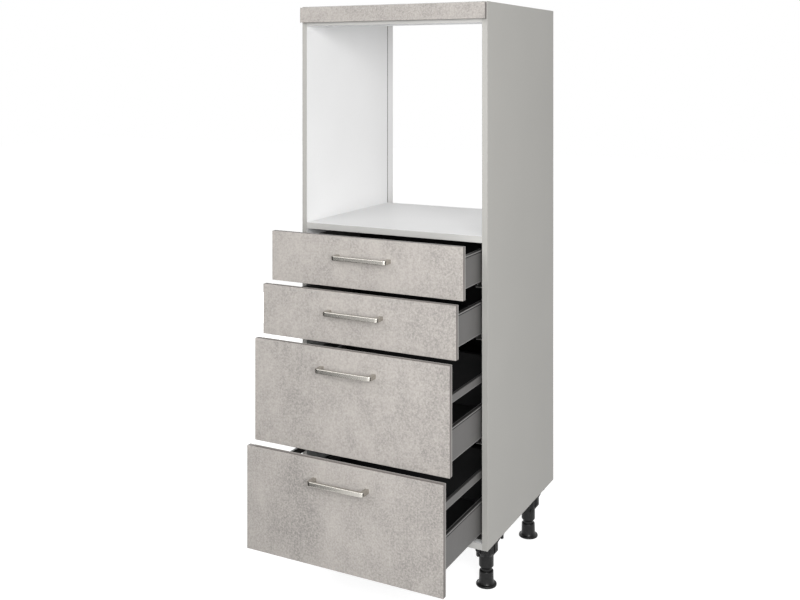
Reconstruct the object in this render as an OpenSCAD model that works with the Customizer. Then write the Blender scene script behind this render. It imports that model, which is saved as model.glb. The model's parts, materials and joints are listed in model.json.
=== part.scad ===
// Tall oven housing unit: a 600 mm carcass on four screw legs, an open oven niche above,
// and four drawers below, drawn partly open. Millimetres, +Z up, +Y towards the wall.
// The origin is on the floor, at mid-width, in the plane of the carcass's front edges.

/* [Carcass] */
// Outside width of the unit
unit_w = 600; // [500:10:900]
// Depth of the side panels
carcass_d = 560; // [545:5:600]
// Height of one row of the front grid
row_h = 144; // [140:1:160]
// Clear height of the oven niche
niche_h = 590; // [560:1:600]
// Height of the carcass above the niche
head_h = 58; // [50:1:80]
// Thickness of the side panels
side_t = 16; // [15:1:19]
// Thickness of the bottom panel and the oven shelf
floor_t = 18; // [16:1:22]
// Thickness of the top panel and the front traverse
top_t = 16; // [15:1:19]
// Depth of the front traverse
traverse_d = 100; // [80:5:140]
// Distance from the front edges to the back panel's groove
groove_y = 519; // [500:1:530]
// Width of the groove, and thickness of the back panel
groove_w = 4; // [3:1:5]
// Depth of the groove
groove_deep = 8; // [6:1:9]

/* [Fronts] */
// Thickness of the drawer fronts and the fascia rail
front_t = 16; // [16:1:22]
// Gap between neighbouring fronts
front_gap = 3; // [2:0.5:4]
// Gap between a closed front and the carcass
front_seat = 2; // [1:0.5:3]
// Height of the fascia rail over the niche
fascia_h = 45; // [35:1:54]

/* [Drawers] */
// How far the first drawer, at the top, is drawn open
open_1 = 145; // [0:1:400]
// How far the second drawer is drawn open
open_2 = 190; // [0:1:400]
// How far the third drawer is drawn open
open_3 = 230; // [0:1:400]
// How far the fourth drawer is drawn open
open_4 = 268; // [0:1:400]
// Length of the metal drawer sides
drawer_len = 450; // [350:10:460]
// Height of the metal drawer sides
wall_h = 87; // [80:1:90]
// Thickness of the double-skinned drawer sides
wall_t = 12.5; // [12:0.5:14]
// Gap between a drawer side and the carcass
wall_gap = 8; // [7:1:12]
// Height of a drawer side above its front's lower edge
wall_rise = 17; // [17:1:24]
// The same for the lowest drawer, which clears the bottom panel
wall_rise_low = 41; // [40:1:44]
// Thickness of the drawer bottoms and backs
board_t = 16; // [12:1:16]
// Height of a gallery rail
gallery_h = 21; // [16:1:26]
// Width of a gallery rail
gallery_w = 10; // [8:1:10]
// Height of a gallery rail's top above the drawer side's lower edge
gallery_top = 172; // [150:1:190]

/* [Handles] */
// Distance between the handle's two screws
handle_pitch = 160; // [96:32:320]
// Width of a handle's two posts
post_w = 12; // [10:1:14]
// How far a handle stands proud of its front
handle_out = 32; // [28:1:36]
// Height of the handle's bar
handle_h = 12; // [10:1:14]
// Depth of the handle's bar
handle_bar = 9; // [8:1:11]
// Distance from a front's upper edge to its handle
handle_drop = 56; // [40:1:70]

/* [Legs] */
// Height of the legs
leg_h = 142; // [135:1:160]
// Distance from the outer face of a side panel to the middle of a leg
leg_inset = 43; // [42:1:44]
// Distance from the front edges to the front legs
leg_front_y = 97; // [80:1:110]
// Distance from the front edges to the rear legs
leg_rear_y = 443; // [420:1:460]
// Radius of the leg tube
tube_r = 21; // [19:0.5:22]
// Radius of the foot's disc
foot_r = 29.5; // [28:0.5:32]

/* [Hidden] */

$fn = 48;
skin = 1.2;                                 // steel sheet of the drawer sides
cut = 1;                                    // how far a cutting solid runs past a face
play = 0.1;                                 // clearance round a dowel, bolt or screw

half_w = unit_w / 2;
in_x = half_w - side_t;                     // inner face of a side panel
shelf_z = leg_h + 6 * row_h;                // top of the oven shelf
niche_top = shelf_z + niche_h;
carcass_h = 6 * row_h + niche_h + head_h;
top_z = leg_h + carcass_h;
back_play = 0.5;                            // gap between the back panel and the groove's floor
back_drop = 4;                              // gap between the back panel's top and the shelf's top

// Rows of the grid that each drawer front covers, from the top drawer down
front_rows = [1, 1, 2, 2];
front_row_0 = [5, 4, 2, 0];
opens = [open_1, open_2, open_3, open_4];
rises = [wall_rise, wall_rise, wall_rise, wall_rise_low];
has_gallery = [false, false, true, true];
front_w = unit_w - front_gap;
function front_z(i) = leg_h + front_row_0[i] * row_h;
function front_h(i) = front_rows[i] * row_h - front_gap;
function back_y(i) = -front_seat - opens[i];            // rear face of a drawer front
function face_y(i) = back_y(i) - front_t;               // its visible face
function wall_z(i) = front_z(i) + rises[i];             // lower edge of the drawer sides
function rail_z(i) = wall_z(i) - rail_drop;             // lower face of the cabinet rails
function rail_screw_z(i) = rail_z(i) + rail_web_h / 2 + 1;
function handle_z(i) = front_z(i) + front_h(i) - handle_drop;
function box_top(i) = has_gallery[i] ? gallery_top : wall_h - 2;

wall_x = in_x - wall_gap;                   // outer face of a drawer side
wall_in = wall_x - wall_t;                  // its inner face
web_z = 32;                                 // running web inside the drawer side
ledge_w = 12;                               // ledge that the drawer bottom lies on
bottom_play = 0.3;                          // gap between the drawer bottom and the drawer side
back_z = skin + board_t;                    // lower edge of the drawer back, above the side's
seam_deep = 0.7;                            // seam along the drawer side, below its upper edge
seam_h = 1.8;
seam_drop = 6.5;
gallery_x = wall_x - 0.5;                   // outer face of a gallery rail
gallery_plug = 15;                          // length of the plug that holds a gallery rail

// Brackets: a lug inside the drawer side at the front, an angle round the drawer back
lug_z = 38;
lug_h = 40;
lug_t = 2.5;
tongue = [3, 38, 30];                       // thickness, length and height of the lug's tongue
bracket_t = 1.5;
bracket_len = 30;
bracket_lift = 3;                           // gap between the running web and the bracket

// The cabinet rail hangs below the drawer side, and its rib stands up inside it
rail_drop = 15;
rail_t = 1.5;
rail_y = 3;
rail_len = 470;
rail_in = in_x - 27;                        // inner edge of the rail's flange
rail_bare = 28;                             // length of flange in front of the rib and the web
rail_lip_h = 6;
rail_web_h = 14;
rail_nose = [[0, 10], [8, 0], [24, 0], [27, 4]];        // front end of the flange, from rail_in
rib_t = 2;
rib_h = 43;
rib_x = wall_x - wall_t / 2 + 0.25;         // middle of the rib
slide_w = 7;
slide_len = 440;
slide_low = 18;                             // lower edge of the middle member, above the flange
slide_h = 28;
slide_y = rail_y + 2;                       // its front end when the drawer is closed
slide_play = 0.6;
screw_ys = [37, 261, 421];                  // screws of a rail, on the 32 mm hole line

// Board joints: height of the board's middle, its thickness, and where its cams and dowels lie
cam_r = 7.5;
cam_inset = 24;
cam_h = 12.5;
cam_slot = [15, 1.5, 2];                    // screwdriver slot
cam_play = 0.5;
bolt_r = 3;
bolt_deep = 10;
dowel_r = 4;
dowel_len = 35;
dowel_deep = 11;
joints = [
    [leg_h + floor_t / 2, floor_t, [45, 460], [100, 420]],
    [shelf_z - floor_t / 2, floor_t, [60, 460], [100, 420]],
    [top_z - top_t / 2, top_t, [60, 460], [100, 420]],
    [niche_top + top_t / 2, top_t, [35], [72]]
];
fascia_z = top_z - front_gap - fascia_h;
fascia_dowel_x = [-200, 200];
fascia_dowel_z = top_z - 10;
fascia_dowel_deep = 9;
fascia_dowel_len = 33;

// Screws
screw_r = 1.75;
screw_in = 12;                              // how far a screw goes into a board
pilot_deep = 13;                            // depth of its bore
head_r = 3.6;
head_t = 1.8;
screw_m4 = 2;                               // radius of a handle screw
pan_h = 2.5;                                // height of its head
front_hole_play = 0.5;
post_bore = 12;                             // bore of a handle post
post_screw_in = 10;

// Legs: the deep screw ear of a rear socket points another way than that of a front one
leg_x = half_w - leg_inset;
leg_places = [for (x = [-leg_x, leg_x]) for (k = [[leg_front_y, 0], [leg_rear_y, 90]]) [x, k[0], k[1]]];
socket_low = leg_h - 56;
socket_slant = leg_h - 42.5;                // where the socket reaches its full width
socket_core = 30.5;
socket_rib = 33;                            // outer radius of its ribs
rib_count = 12;
rib_w = 4;
plate_t = 4;
plate_r = 32;
ear_at = 34;
ear_r = 7;
ear_arm = ear_at * sqrt(2) - 3;             // the arms to the ears end short of the screw bores
deep_ear = 17;                              // height of the deep ear
deep_ear_r = 5;
web_w = 3.5;                                // web below each arm
web_reach = 42;
web_low = leg_h - 28;
hook = [8, 10, 13];                         // hook over the tube, opposite the deep ear
hook_low = leg_h - 58;
hook_bore_r = 1.5;
hook_bore_y = 2.8;
hook_bore_z = 8.5;

neck_r = tube_r - 5.2;                      // where the tube dips into the foot's sleeve
tube_low = 34;
neck_top = 49;
tube_full = 55.3;
spigot_r = tube_r - 4;
spigot_top = leg_h - 16;
stem_r = neck_r - 2;
stem_top = leg_h - 64;
thread_play = 0.2;
disc_h = 6;                                 // foot: disc, sleeve with a cup in its top, stem
sleeve_low = 15;
sleeve_top = 41.8;
sleeve_r = tube_r - 0.7;
cup_r = tube_r - 3.8;
cup_floor = 30;

// Angles under the top panel
bracket_x = 200;
bracket_w = 40;
bracket_leg = 24;
bracket_drop = 20;
bracket_sheet = 2;
wall_hole_r = 3;

// Handle: overall length, and the radii of its bends
handle_len = handle_pitch + post_w;
bend_out = 10;
bend_in = 4;

// ---------- shared shapes ----------

// The right-hand solid and its mirror image
module both_sides() {
    children();
    mirror([1, 0, 0]) children();
}

module rod_x(p, r, len) {
    translate(p) rotate([0, 90, 0]) cylinder(h = len, r = r);
}

module rod_y(p, r, len) {
    translate(p) rotate([-90, 0, 0]) cylinder(h = len, r = r);
}

// Bore for a screw that is driven upwards, from the face at height z
module pilot_up(x, y, z) {
    translate([x, y, z - cut]) cylinder(h = pilot_deep + cut, r = screw_r + play);
}

module at_legs() {
    for (p = leg_places) translate([p[0], p[1], 0]) rotate([0, 0, p[2]]) children();
}

module at_ears() {
    for (a = [-ear_at, ear_at]) for (b = [-ear_at, ear_at]) translate([a, b, 0]) children();
}

// ---------- carcass ----------

// Right side panel, with its groove and the bores of its joints, rails and leg screws
module side_panel() {
    color("gainsboro") difference() {
        translate([in_x, 0, leg_h]) cube([side_t, carcass_d, carcass_h]);
        translate([in_x - cut, groove_y, leg_h - cut])
            cube([groove_deep + cut, groove_w, carcass_h + 2 * cut]);
        for (j = joints) {
            for (y = j[2]) rod_x([in_x - cut, y, j[0]], bolt_r + play, bolt_deep + 2 * cut);
            for (y = j[3]) rod_x([in_x - cut, y, j[0]], dowel_r + play, dowel_deep + 2 * cut);
        }
        for (i = [0:3]) for (y = screw_ys)
            rod_x([in_x - cut, y, rail_screw_z(i)], screw_r + play, pilot_deep + cut);
        for (y = [leg_front_y, leg_rear_y]) for (e = [-ear_at, ear_at])
            pilot_up(leg_x + ear_at, y + e, leg_h);
    }
}

// A board between the side panels, from its joint's entry, drilled for cams, bolts and dowels
module joined_board(j, depth) {
    difference() {
        translate([-in_x, 0, j[0] - j[1] / 2]) cube([2 * in_x, depth, j[1]]);
        both_sides() {
            for (y = j[2]) {
                translate([in_x - cam_inset, y, j[0] - j[1] / 2 - cut])
                    cylinder(h = cam_h + cut, r = cam_r + play);
                rod_x([in_x - cam_inset, y, j[0]], bolt_r + play, cam_inset + cut);
            }
            for (y = j[3])
                rod_x([in_x - dowel_len + dowel_deep - cut, y, j[0]], dowel_r + play, dowel_len);
        }
    }
}

module bottom_panel() {
    color("gainsboro") difference() {
        joined_board(joints[0], groove_y);
        both_sides() for (y = [leg_front_y, leg_rear_y]) for (e = [-ear_at, ear_at])
            pilot_up(leg_x - ear_at, y + e, leg_h);
    }
}

module oven_shelf() {
    color("gainsboro") joined_board(joints[1], groove_y);
}

module fascia_bores() {
    for (x = fascia_dowel_x)
        rod_y([x, -fascia_dowel_deep - cut, fascia_dowel_z], dowel_r + play, fascia_dowel_len + 2 * cut);
}

module top_panel() {
    color("gainsboro") difference() {
        joined_board(joints[2], carcass_d);
        fascia_bores();
        both_sides() pilot_up(bracket_x, carcass_d - bracket_leg / 2, top_z - top_t);
    }
}

module front_traverse() {
    color("gainsboro") joined_board(joints[3], traverse_d);
}

// Thin board behind the drawers, let into the side panels' grooves
module back_panel() {
    reach = in_x + groove_deep - back_play;
    color("dimgray") translate([-reach, groove_y, leg_h])
        cube([2 * reach, groove_w, shelf_z - leg_h - back_drop]);
}

module fascia_rail() {
    color("lightgray") difference() {
        translate([-front_w / 2, -front_t, fascia_z]) cube([front_w, front_t, fascia_h]);
        fascia_bores();
    }
}

// Eccentric cams in the boards' undersides, each with the bolt that it draws in
module panel_cams() {
    color("silver") both_sides() for (j = joints) for (y = j[2]) {
        translate([in_x - cam_inset, y, j[0] - j[1] / 2]) difference() {
            cylinder(h = cam_h - cam_play, r = cam_r);
            translate([-cam_slot[0] / 2, -cam_slot[1] / 2, -cut])
                cube([cam_slot[0], cam_slot[1], cam_slot[2] + cut]);
        }
        rod_x([in_x - cam_inset + cam_r + cam_play, y, j[0]], bolt_r, cam_inset - cam_r + bolt_deep);
    }
}

module panel_dowels() {
    color("burlywood") {
        both_sides() for (j = joints) for (y = j[3])
            rod_x([in_x - dowel_len + dowel_deep, y, j[0]], dowel_r, dowel_len);
        for (x = fascia_dowel_x)
            rod_y([x, -fascia_dowel_deep, fascia_dowel_z], dowel_r, fascia_dowel_len);
    }
}

// ---------- legs ----------

// Flat strip, cut from a sheet of the given thickness, that stands on end along +X
module upright(thick, outline) {
    translate([0, thick / 2, 0]) rotate([90, 0, 0]) linear_extrude(thick) polygon(outline);
}

// Socket: plate with four screw ears, and a ribbed cup that narrows to the tube. One ear is deep,
// and opposite it a hook with two small bores reaches down over the tube.
module leg_sockets() {
    color("darkslategray") at_legs() difference() {
        union() {
            translate([0, 0, leg_h - plate_t]) {
                cylinder(h = plate_t, r = plate_r);
                at_ears() cylinder(h = plate_t, r = ear_r);
                for (t = [45, 135]) rotate([0, 0, t])
                    translate([-ear_arm, 1 - ear_r, 0]) cube([2 * ear_arm, 2 * ear_r - 2, plate_t]);
            }
            translate([ear_at, ear_at, leg_h - deep_ear]) cylinder(h = deep_ear - 1, r = deep_ear_r);
            rotate_extrude() polygon([
                [0, socket_low], [tube_r + 0.8, socket_low], [socket_core, socket_slant],
                [socket_core, leg_h - 1], [0, leg_h - 1]
            ]);
            for (k = [0:rib_count - 1]) rotate([0, 0, (k + 0.5) * 360 / rib_count]) upright(rib_w, [
                [tube_r - 1, socket_low + 1], [tube_r + 1.5, socket_low + 1],
                [socket_rib, socket_slant + 1], [socket_rib, leg_h - 2], [tube_r - 1, leg_h - 2]
            ]);
            for (t = [45:90:315]) rotate([0, 0, t]) upright(web_w, [
                [tube_r, web_low], [socket_rib + 1, web_low], [web_reach, web_low + 11],
                [web_reach, leg_h - 2], [tube_r, leg_h - 2]
            ]);
            rotate([0, 0, 225]) translate([tube_r + 0.3, -hook[1] / 2, hook_low]) cube(hook);
        }
        translate([0, 0, socket_low - cut])
            cylinder(h = spigot_top - socket_low + 2 * cut, r = spigot_r + play);
        at_ears() translate([0, 0, leg_h - deep_ear - cut])
            cylinder(h = deep_ear + 2 * cut, r = screw_r + play);
        rotate([0, 0, 225]) for (y = [-hook_bore_y, hook_bore_y])
            rod_x([tube_r + hook[0] / 2, y, hook_low + hook_bore_z], hook_bore_r, hook[0]);
    }
}

// Tube: its spigot sits in the socket, and the foot's stem screws into it from below
module leg_tubes() {
    bore = stem_r + thread_play;
    color("darkslategray") at_legs() rotate_extrude() polygon([
        [bore, tube_low], [neck_r, tube_low], [neck_r, neck_top], [tube_r, tube_full],
        [tube_r, socket_low], [spigot_r, socket_low], [spigot_r, spigot_top], [bore, spigot_top]
    ]);
}

// Foot: disc, and a sleeve whose top is a cup that takes the tube's neck, round the screw stem
module foot(x, y) {
    color("darkslategray") translate([x, y, 0]) rotate_extrude() polygon([
        [0, 0], [foot_r - 1, 0], [foot_r, 1], [foot_r, disc_h - 2], [foot_r - 0.6, disc_h - 0.6],
        [foot_r - 2, disc_h], [tube_r + 3, disc_h + 0.8], [tube_r + 1.2, disc_h + 3], [tube_r, sleeve_low],
        [sleeve_r, sleeve_top - 1.2], [sleeve_r - 1, sleeve_top], [cup_r, sleeve_top],
        [cup_r, cup_floor], [stem_r, cup_floor], [stem_r, stem_top], [0, stem_top]
    ]);
}

// Screw driven upwards through a sheet whose lower face is at height z
module screw_up(z, sheet) {
    translate([0, 0, z - head_t]) {
        cylinder(h = head_t, r = head_r);
        cylinder(h = head_t + sheet + screw_in, r = screw_r);
    }
}

// Screws that hold the leg sockets and the wall brackets
module carcass_screws() {
    color("silver") {
        at_legs() for (a = [-ear_at, ear_at]) for (b = [-ear_at, ear_at]) {
            sheet = a + b > ear_at ? deep_ear : plate_t;
            translate([a, b, 0]) screw_up(leg_h - sheet, sheet);
        }
        both_sides() translate([bracket_x, carcass_d - bracket_leg / 2, 0])
            screw_up(top_z - top_t - bracket_sheet, bracket_sheet);
    }
}

// Angles under the top panel that hold the unit to the wall
module wall_brackets() {
    under = top_z - top_t;
    color("silver") both_sides() difference() {
        translate([bracket_x - bracket_w / 2, carcass_d - bracket_leg, under - bracket_drop]) difference() {
            cube([bracket_w, bracket_leg, bracket_drop]);
            translate([-cut, -cut, -cut]) cube([
                bracket_w + 2 * cut, bracket_leg - bracket_sheet + cut, bracket_drop - bracket_sheet + cut
            ]);
        }
        translate([bracket_x, carcass_d - bracket_leg / 2, under - bracket_sheet - cut])
            cylinder(h = bracket_sheet + 2 * cut, r = screw_r + play);
        rod_y([bracket_x, carcass_d - bracket_sheet - cut, under - bracket_drop / 2 - 1],
            wall_hole_r, bracket_sheet + 2 * cut);
    }
}

// ---------- runners ----------

// Cabinet rail of each drawer: flange, low web on the side panel, and a rib that the slide rides on
module cabinet_rails() {
    nose = [for (p = rail_nose) [rail_in + p[0], p[1]]];
    color("silver") both_sides() for (i = [0:3]) translate([0, rail_y, rail_z(i)]) difference() {
        union() {
            linear_extrude(rail_t) polygon(concat(nose, [[in_x, rail_len], [rail_in, rail_len]]));
            translate([in_x - rail_t, rail_bare, 0]) cube([rail_t, rail_len - rail_bare, rail_web_h]);
            translate([rib_x - rib_t / 2, rail_bare, 0]) cube([rib_t, rail_len - rail_bare, rib_h]);
            translate([rail_in, rail_bare, 0]) cube([rail_t, rail_len - rail_bare, rail_lip_h]);
        }
        for (y = screw_ys)
            rod_x([in_x - rail_t - cut, y - rail_y, rail_web_h / 2 + 1], screw_r + play, rail_t + 2 * cut);
    }
}

module rail_screws() {
    color("silver") both_sides() for (i = [0:3]) for (y = screw_ys)
        translate([in_x - rail_t - head_t, y, rail_screw_z(i)]) {
            rod_x([0, 0, 0], head_r, head_t);
            rod_x([0, 0, 0], screw_r, head_t + rail_t + screw_in);
        }
}

// Middle member: an inverted channel on the rib, which travels half as far as its drawer
module runner_slides(i) {
    color("silver") both_sides()
        translate([rib_x - slide_w / 2, slide_y - opens[i] / 2, rail_z(i) + slide_low]) difference() {
            cube([slide_w, slide_len, slide_h]);
            translate([slide_w / 2 - rib_t / 2 - slide_play, -cut, -cut]) cube([
                rib_t + 2 * slide_play, slide_len + 2 * cut, rib_h - slide_low + slide_play + cut
            ]);
        }
}

// ---------- drawers ----------

module drawer_front(i) {
    color("lightgray") difference() {
        translate([-front_w / 2, face_y(i), front_z(i)]) cube([front_w, front_t, front_h(i)]);
        for (x = [-handle_pitch / 2, handle_pitch / 2])
            rod_y([x, face_y(i) - cut, handle_z(i)], screw_m4 + front_hole_play, front_t + 2 * cut);
    }
}

// Bow handle: a bar on two posts, in plan a frame with rounded front corners
module handle_plan() {
    end = handle_len / 2;
    inner = end - post_w;
    difference() {
        union() {
            translate([-end, bend_out - handle_out]) square([2 * end, handle_out - bend_out]);
            translate([bend_out - end, -handle_out]) square([2 * (end - bend_out), handle_out]);
            for (x = [bend_out - end, end - bend_out])
                translate([x, bend_out - handle_out]) circle(r = bend_out);
        }
        translate([-inner, bend_in + handle_bar - handle_out]) square([2 * inner, handle_out]);
        translate([bend_in - inner, handle_bar - handle_out]) square([2 * (inner - bend_in), handle_out]);
        for (x = [bend_in - inner, inner - bend_in])
            translate([x, bend_in + handle_bar - handle_out]) circle(r = bend_in);
    }
}

module handle(i) {
    color("darkgray") difference() {
        translate([0, face_y(i), handle_z(i) - handle_h / 2]) linear_extrude(handle_h) handle_plan();
        for (x = [-handle_pitch / 2, handle_pitch / 2])
            rod_y([x, face_y(i) - post_bore, handle_z(i)], screw_m4 + play, post_bore + cut);
    }
}

module handle_screws(i) {
    color("silver") for (x = [-handle_pitch / 2, handle_pitch / 2]) {
        rod_y([x, face_y(i) - post_screw_in, handle_z(i)], screw_m4, post_screw_in + front_t + pan_h);
        rod_y([x, back_y(i), handle_z(i)], 2 * screw_m4, pan_h);
    }
}

// Right drawer side seen from the front: two skins, a running web, a seam and a ledge for the bottom
module drawer_side(i) {
    hollow = wall_t - 2 * skin;
    color("dimgray") translate([wall_x, back_y(i) + drawer_len, wall_z(i)]) rotate([90, 0, 0])
        linear_extrude(drawer_len) difference() {
            translate([-wall_t, 0]) square([wall_t, wall_h]);
            translate([-wall_t + skin, -cut]) square([hollow, web_z + cut]);
            translate([-wall_t + skin, web_z + skin]) square([hollow, wall_h - web_z - 2 * skin]);
            translate([-seam_deep, wall_h - seam_drop]) square([seam_deep + cut, seam_h]);
        }
    color("dimgray") translate([wall_in - ledge_w, back_y(i), wall_z(i)])
        cube([ledge_w + skin / 2, drawer_len, skin]);
}

module drawer_bottom(i) {
    reach = wall_in - bottom_play;
    color("dimgray") translate([-reach, back_y(i), wall_z(i) + skin])
        cube([2 * reach, drawer_len, board_t]);
}

module drawer_back(i) {
    reach = wall_in - bracket_t;
    color("dimgray") translate([-reach, back_y(i) + drawer_len - board_t, wall_z(i) + back_z])
        cube([2 * reach, board_t, box_top(i) - back_z]);
}

// Front brackets inside the drawer sides, rear brackets round the drawer back, gallery plugs
module drawer_brackets(i) {
    clear = skin + 2 * play;
    wall = skin + play;
    rear_low = web_z + bracket_lift;
    color("gray") both_sides() {
        translate([wall_in + clear, back_y(i), wall_z(i) + lug_z]) {
            cube([wall_t - 2 * clear, lug_t, lug_h]);
            translate([tongue[0], 0, (lug_h - tongue[2]) / 2]) cube(tongue);
        }
        translate([wall_in - bracket_t, back_y(i) + drawer_len - bracket_len, wall_z(i) + back_z])
            cube([bracket_t, bracket_len, box_top(i) - back_z]);
        translate([wall_in - bracket_t, back_y(i) + drawer_len, wall_z(i) + rear_low])
            cube([wall_t + bracket_t, bracket_t, box_top(i) - rear_low]);
        if (has_gallery[i])
            translate([gallery_x - gallery_w + wall, back_y(i), wall_z(i) + gallery_top - gallery_h + wall])
                cube([gallery_w - 2 * wall, gallery_plug, gallery_h - 2 * wall]);
    }
}

// Square gallery tubes above the deep drawers' sides
module gallery_rails(i) {
    color("dimgray") both_sides()
        translate([gallery_x - gallery_w, back_y(i), wall_z(i) + gallery_top - gallery_h]) difference() {
            cube([gallery_w, drawer_len, gallery_h]);
            translate([skin, -cut, skin])
                cube([gallery_w - 2 * skin, drawer_len + 2 * cut, gallery_h - 2 * skin]);
        }
}

// ---------- the nodes ----------

mirror([1, 0, 0]) side_panel();  // side_panel_left
side_panel();  // side_panel_right
bottom_panel();
oven_shelf();
top_panel();
front_traverse();
back_panel();
fascia_rail();
panel_cams();
panel_dowels();
leg_sockets();
leg_tubes();
carcass_screws();
wall_brackets();
cabinet_rails();
rail_screws();
foot(-leg_x, leg_front_y);  // foot_front_left
foot(leg_x, leg_front_y);  // foot_front_right
foot(-leg_x, leg_rear_y);  // foot_rear_left
foot(leg_x, leg_rear_y);  // foot_rear_right
runner_slides(0);  // runner_slides_1
runner_slides(1);  // runner_slides_2
runner_slides(2);  // runner_slides_3
runner_slides(3);  // runner_slides_4
drawer_front(0);  // drawer_front_1
drawer_front(1);  // drawer_front_2
drawer_front(2);  // drawer_front_3
drawer_front(3);  // drawer_front_4
handle(0);  // handle_1
handle(1);  // handle_2
handle(2);  // handle_3
handle(3);  // handle_4
handle_screws(0);  // handle_screws_1
handle_screws(1);  // handle_screws_2
handle_screws(2);  // handle_screws_3
handle_screws(3);  // handle_screws_4
mirror([1, 0, 0]) drawer_side(0);  // drawer_side_left_1
mirror([1, 0, 0]) drawer_side(1);  // drawer_side_left_2
mirror([1, 0, 0]) drawer_side(2);  // drawer_side_left_3
mirror([1, 0, 0]) drawer_side(3);  // drawer_side_left_4
drawer_side(0);  // drawer_side_right_1
drawer_side(1);  // drawer_side_right_2
drawer_side(2);  // drawer_side_right_3
drawer_side(3);  // drawer_side_right_4
drawer_bottom(0);  // drawer_bottom_1
drawer_bottom(1);  // drawer_bottom_2
drawer_bottom(2);  // drawer_bottom_3
drawer_bottom(3);  // drawer_bottom_4
drawer_back(0);  // drawer_back_1
drawer_back(1);  // drawer_back_2
drawer_back(2);  // drawer_back_3
drawer_back(3);  // drawer_back_4
drawer_brackets(0);  // drawer_brackets_1
drawer_brackets(1);  // drawer_brackets_2
drawer_brackets(2);  // drawer_brackets_3
drawer_brackets(3);  // drawer_brackets_4
gallery_rails(2);  // gallery_rails_3
gallery_rails(3);  // gallery_rails_4
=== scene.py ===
import json
import math

import bmesh
import bpy
import numpy as np
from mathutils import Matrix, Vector

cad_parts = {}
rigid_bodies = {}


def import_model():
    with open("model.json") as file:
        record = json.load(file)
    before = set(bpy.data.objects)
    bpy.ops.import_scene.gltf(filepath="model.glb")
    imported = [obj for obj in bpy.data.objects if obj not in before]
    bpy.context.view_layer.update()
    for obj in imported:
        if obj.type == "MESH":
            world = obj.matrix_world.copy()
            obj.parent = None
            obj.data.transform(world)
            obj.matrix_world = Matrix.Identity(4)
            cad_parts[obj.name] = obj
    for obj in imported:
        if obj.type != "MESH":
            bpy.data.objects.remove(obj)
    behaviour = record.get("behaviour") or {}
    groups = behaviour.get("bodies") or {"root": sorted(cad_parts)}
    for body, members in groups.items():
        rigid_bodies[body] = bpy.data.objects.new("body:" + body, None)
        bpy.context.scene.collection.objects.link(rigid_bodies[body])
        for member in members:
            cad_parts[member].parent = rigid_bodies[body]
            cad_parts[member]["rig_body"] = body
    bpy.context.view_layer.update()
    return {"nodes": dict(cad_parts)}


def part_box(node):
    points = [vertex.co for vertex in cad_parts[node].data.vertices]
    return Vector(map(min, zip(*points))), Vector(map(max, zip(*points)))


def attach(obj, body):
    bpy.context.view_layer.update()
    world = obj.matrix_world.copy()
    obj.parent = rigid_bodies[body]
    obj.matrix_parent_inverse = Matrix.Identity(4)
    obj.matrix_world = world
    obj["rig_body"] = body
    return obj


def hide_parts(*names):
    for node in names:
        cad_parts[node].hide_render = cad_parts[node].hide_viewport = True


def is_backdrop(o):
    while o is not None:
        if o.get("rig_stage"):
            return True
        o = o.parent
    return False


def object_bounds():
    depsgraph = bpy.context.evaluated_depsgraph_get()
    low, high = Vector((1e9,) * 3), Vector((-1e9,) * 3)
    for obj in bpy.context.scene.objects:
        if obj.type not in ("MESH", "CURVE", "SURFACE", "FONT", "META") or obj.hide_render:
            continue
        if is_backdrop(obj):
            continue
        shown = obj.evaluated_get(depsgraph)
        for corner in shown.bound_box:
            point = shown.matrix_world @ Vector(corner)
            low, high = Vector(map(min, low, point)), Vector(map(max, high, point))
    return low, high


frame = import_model()
mm = 0.001

# ---------- Studio: camera ----------
# The photo was taken with the camera level and its lens shifted down, so that the uprights
# stay parallel. Its place and focal length come from the unit's own corners in the photo.
photo_w, photo_h = 800, 600
focal_px = 1029.0
axis_u, axis_v = 392.9, 68.2  # the pixel that the lens axis meets
camera_at = (1.374, -2.625, 1.4695)
camera_turn = math.radians(27.5)
sensor = 36.0

lens = bpy.data.cameras.new("photo_lens")
lens.sensor_width = sensor
lens.lens = focal_px / photo_w * sensor
lens.shift_x = 0.5 - axis_u / photo_w
lens.shift_y = (axis_v - photo_h / 2) / photo_w
camera = bpy.data.objects.new("photo_camera", lens)
camera.location = camera_at
camera.rotation_euler = (math.pi / 2, 0, camera_turn)
bpy.context.scene.collection.objects.link(camera)
bpy.context.scene.camera = camera
bpy.context.scene.view_settings.view_transform = "Standard"

# ---------- Studio: floor, daylight and lamps ----------
# A white floor runs out to a white surround, which lights the unit evenly from all sides. A soft
# lamp stands before its right half, a wider and weaker one hangs before its left, and a low one
# behind lights the rear. Dark cards show in gloss alone, and draw the dark lines along the metal.
ambient = 0.485
floor_half = 14.0
floor_lift = 0.82  # white that the camera sees besides the light on the floor
floor_lit = 0.42  # how much of the light on the floor the camera sees
floor_pale = 0.30  # how much of its light the floor gives back to the unit
card_black = 0.01


def add(tree, kind, inputs=None, **settings):
    """A shader node of this kind. Settings are its options, inputs its values or other nodes' outputs."""
    made = tree.nodes.new("ShaderNode" + kind)
    for name, value in settings.items():
        setattr(made, name, value)
    for name, value in (inputs or {}).items():
        if isinstance(value, bpy.types.NodeSocket):
            tree.links.new(value, made.inputs[name])
        else:
            made.inputs[name].default_value = value
    return made


def maths(tree, operation, a, b=0.0):
    """One sum, product or comparison of two values."""
    return add(tree, "Math", {0: a, 1: b}, operation=operation).outputs[0]


def seen_ray(tree):
    """1 for a ray from the camera or off a mirror-like or clear surface, 0 for the others."""
    path = add(tree, "LightPath").outputs
    either = maths(tree, "MAXIMUM", path["Is Camera Ray"], path["Is Glossy Ray"])
    return maths(tree, "MAXIMUM", either, path["Is Transmission Ray"])


def grey(level):
    """A neutral colour of this level."""
    return (level, level, level, 1)


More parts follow.
